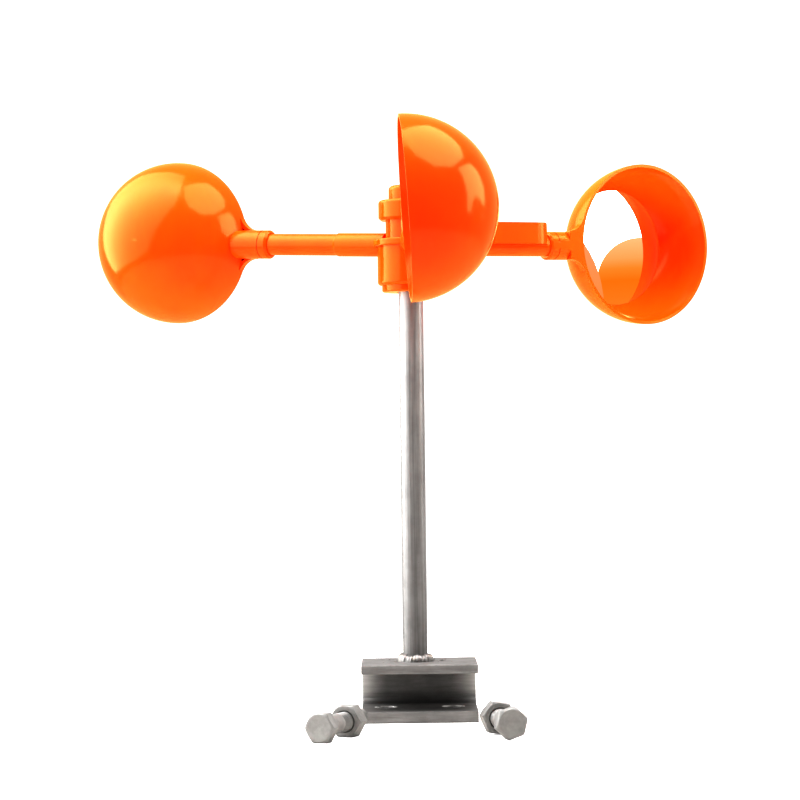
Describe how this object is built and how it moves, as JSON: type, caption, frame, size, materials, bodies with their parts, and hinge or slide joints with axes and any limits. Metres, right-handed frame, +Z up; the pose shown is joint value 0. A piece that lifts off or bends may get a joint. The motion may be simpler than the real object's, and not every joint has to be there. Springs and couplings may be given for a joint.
{
  "type": "cup anemometer",
  "caption": "Wind rotor of hemispherical orange cups with inset mirrors on radial arms, turning on bearings atop a steel mast with a C-shaped clamp foot and loose clamp bolts.",
  "frame": {"origin": "on the mast axis, in the plane of the clamp bracket's underside", "axes": "+Z up the mast, -Y out of the bracket's mouth, +X along the bracket"},
  "size_m": [0.4224, 0.3891, 0.3735],
  "materials": {
    "bracket_steel": "dull zinc-grey, satin",
    "weld_metal": "bright weld metal, rough",
    "mast_steel": "zinc-plated, satin with fine lengthwise streaks",
    "bearing_steel": "ground bearing steel",
    "cage_brass": "plain",
    "seal_rubber": "matt",
    "zinc_hardware": "zinc-plated, lightly mottled",
    "orange_abs": "glossy injection-moulded",
    "mirror": "polished"
  },
  "bodies": {
    "mast": {"clamp_bracket": "bracket_steel", "weld_bead": "weld_metal", "mast_tube": "mast_steel", "spindle": "zinc_hardware", "lower_inner_race": "bearing_steel", "spacer_tube": "mast_steel", "upper_inner_race": "bearing_steel", "bearing_washer": "zinc_hardware", "lock_nut": "zinc_hardware"},
    "rotor": {"hub_body": "orange_abs", "hub_cap": "orange_abs", "bottom_cap": "orange_abs", "lower_outer_race": "bearing_steel", "lower_seals": "seal_rubber", "upper_outer_race": "bearing_steel", "upper_seals": "seal_rubber", "arm_left": "orange_abs", "arm_front": "orange_abs", "arm_right": "orange_abs", "cup_left": "orange_abs", "cup_front": "orange_abs", "cup_right": "orange_abs", "mirror_left": "mirror", "mirror_front": "mirror", "mirror_right": "mirror", "arm_block": "orange_abs"},
    "lower_ball_set": {"lower_balls": "bearing_steel", "lower_cage": "cage_brass"},
    "upper_ball_set": {"upper_balls": "bearing_steel", "upper_cage": "cage_brass"},
    "left_bolt": {"bolt_left": "zinc_hardware"},
    "left_nut": {"nut_left": "zinc_hardware"},
    "right_bolt": {"bolt_right": "zinc_hardware"},
    "right_nut": {"nut_right": "zinc_hardware"}
  },
  "joints": [
    {"name": "rotor_spin", "type": "hinge", "parent": "mast", "child": "rotor", "pos_m": [0, 0, 0.3], "axis": [0, 0, 1], "continuous": true},
    {"name": "lower_balls_spin", "type": "hinge", "parent": "mast", "child": "lower_ball_set", "pos_m": [0, 0, 0.288], "axis": [0, 0, 1], "continuous": true},
    {"name": "upper_balls_spin", "type": "hinge", "parent": "mast", "child": "upper_ball_set", "pos_m": [0, 0, 0.318], "axis": [0, 0, 1], "continuous": true},
    {"name": "left_bolt_travel", "type": "slide", "parent": "mast", "child": "left_bolt", "axis": [0.4226, 0.9062, 0.0143], "range_m": [-0.0223, 0.0092]},
    {"name": "left_nut_turn", "type": "hinge", "parent": "mast", "child": "left_nut", "pos_m": [-0.0423, -0.10375, 0.00958], "axis": [0.4226, 0.9062, 0.0143], "range_deg": [-1900, 4600]},
    {"name": "right_bolt_travel", "type": "slide", "parent": "mast", "child": "right_bolt", "axis": [-0.2079, 0.9781, 0.0014], "range_m": [-0.0261, 0.0054]},
    {"name": "right_nut_turn", "type": "hinge", "parent": "mast", "child": "right_nut", "pos_m": [0.04972, -0.10279, 0.0102], "axis": [-0.2079, 0.9781, 0.0014], "range_deg": [-1200, 6000]}
  ],
  "couplings": [
    {"joint": "lower_balls_spin", "follows": "rotor_spin", "ratio": 0.61905},
    {"joint": "upper_balls_spin", "follows": "rotor_spin", "ratio": 0.61905},
    {"joint": "left_nut_turn", "follows": "left_bolt_travel", "rad_per_m": -3590.4},
    {"joint": "right_nut_turn", "follows": "right_bolt_travel", "rad_per_m": -3590.4}
  ]
}
